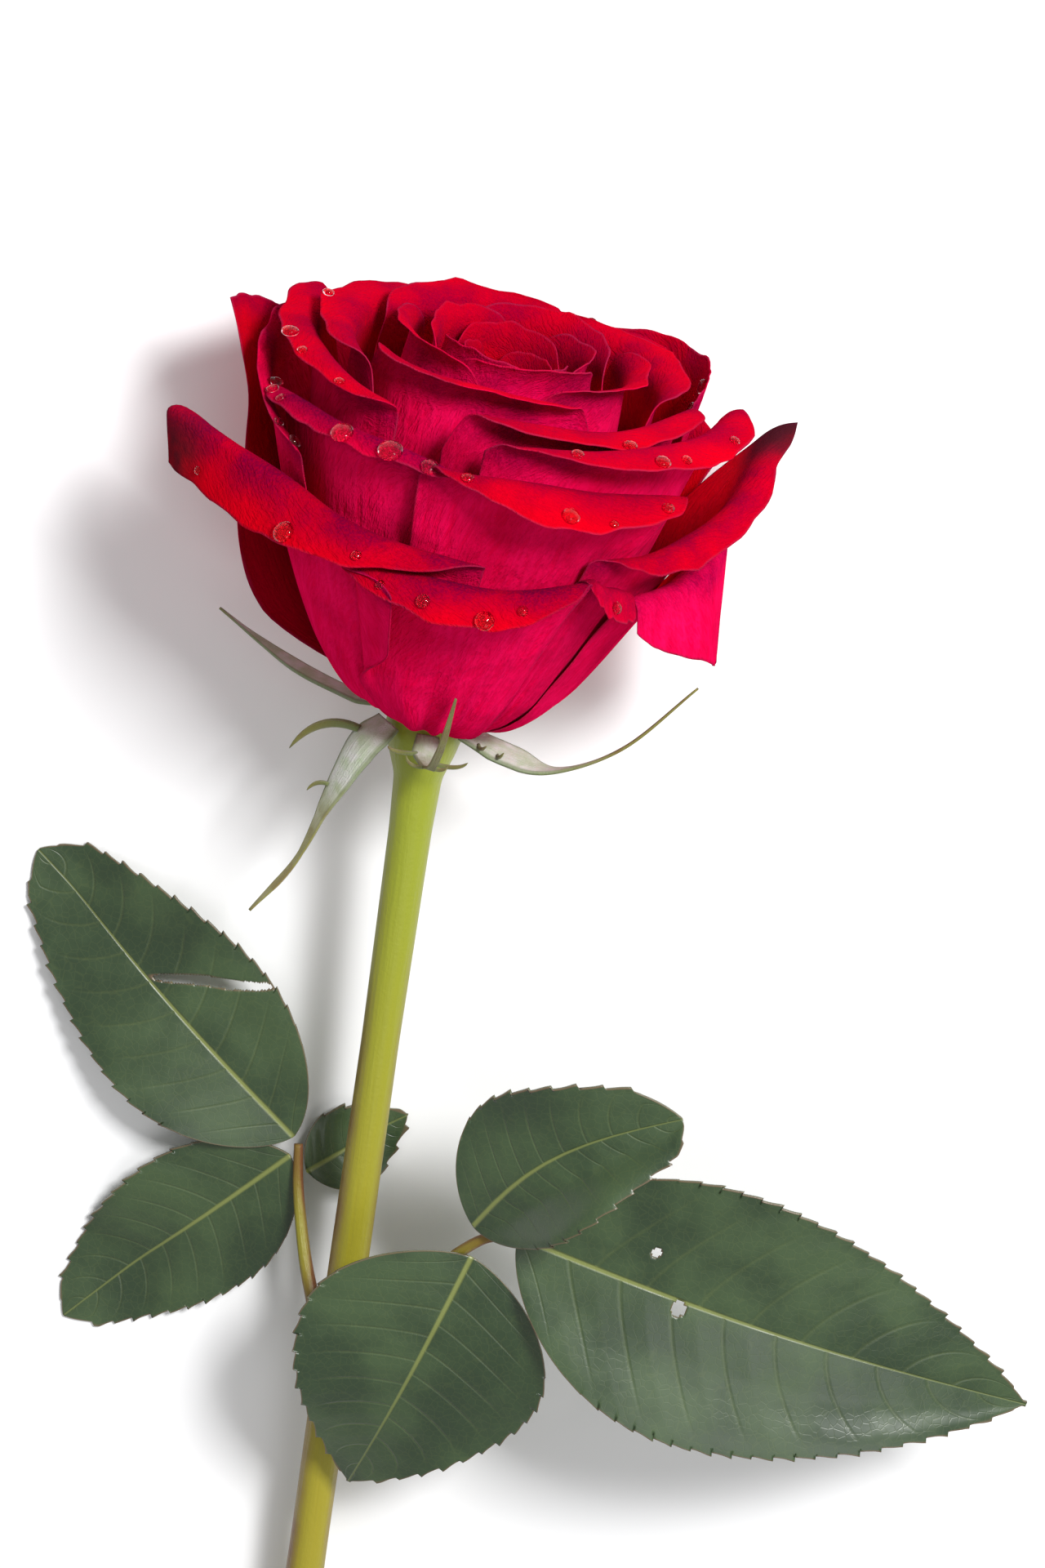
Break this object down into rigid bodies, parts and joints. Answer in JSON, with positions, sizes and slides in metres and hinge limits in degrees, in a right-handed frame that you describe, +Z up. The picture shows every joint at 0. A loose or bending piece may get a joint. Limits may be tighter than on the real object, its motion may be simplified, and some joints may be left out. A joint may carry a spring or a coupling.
{
  "type": "cut rose",
  "caption": "Open red rose cut with its stem, lying on its back on a table, with nested petals, curled sepals and two compound leaves.",
  "frame": {"origin": "centre of the bounding box's underside, on the surface the rose lies on", "axes": "+Y along the stem towards the flower, +Z up from the surface, +X to the right seen from above with the flower at the far end"},
  "size_m": [0.1474, 0.2554, 0.0641],
  "materials": {
    "petal": "velvety crimson petal",
    "stem": "smooth fresh green stem",
    "sepal": "felted grey-green",
    "stalk": "smooth olive green",
    "leaf": "glossy dark green leaf"
  },
  "bodies": {
    "root": {"stem": "stem", "sepal_1": "sepal", "sepal_2": "sepal", "sepal_3": "sepal", "sepal_4": "sepal", "sepal_5": "sepal", "petal_front": "petal", "petal_left_back": "petal", "petal_right_hanging": "petal", "petal_front_small": "petal", "petal_back": "petal", "petal_front_left": "petal", "petal_front_right": "petal", "petal_back_left": "petal", "petal_back_right": "petal", "petal_middle_left": "petal", "petal_middle_right": "petal", "petal_upper_right": "petal", "petal_upper_left": "petal", "petal_inner_1": "petal", "petal_inner_2": "petal", "petal_inner_3": "petal", "petal_inner_4": "petal", "petal_inner_5": "petal", "petal_inner_6": "petal", "petal_inner_7": "petal", "petal_inner_8": "petal", "petal_inner_9": "petal", "petal_inner_10": "petal", "petal_inner_11": "petal", "petal_inner_12": "petal", "petal_inner_13": "petal", "petal_inner_14": "petal", "petal_inner_15": "petal", "petal_inner_16": "petal", "petal_inner_17": "petal", "petal_inner_18": "petal", "petal_inner_19": "petal", "petal_inner_20": "petal", "leaf_stalk_left": "stalk", "leaf_stalk_right": "stalk", "leaflet_left_end": "leaf", "leaflet_left_low": "leaf", "leaflet_left_hidden": "leaf", "leaflet_right_end": "leaf", "leaflet_right_front": "leaf", "leaflet_right_upper": "leaf"}
  },
  "joints": []
}
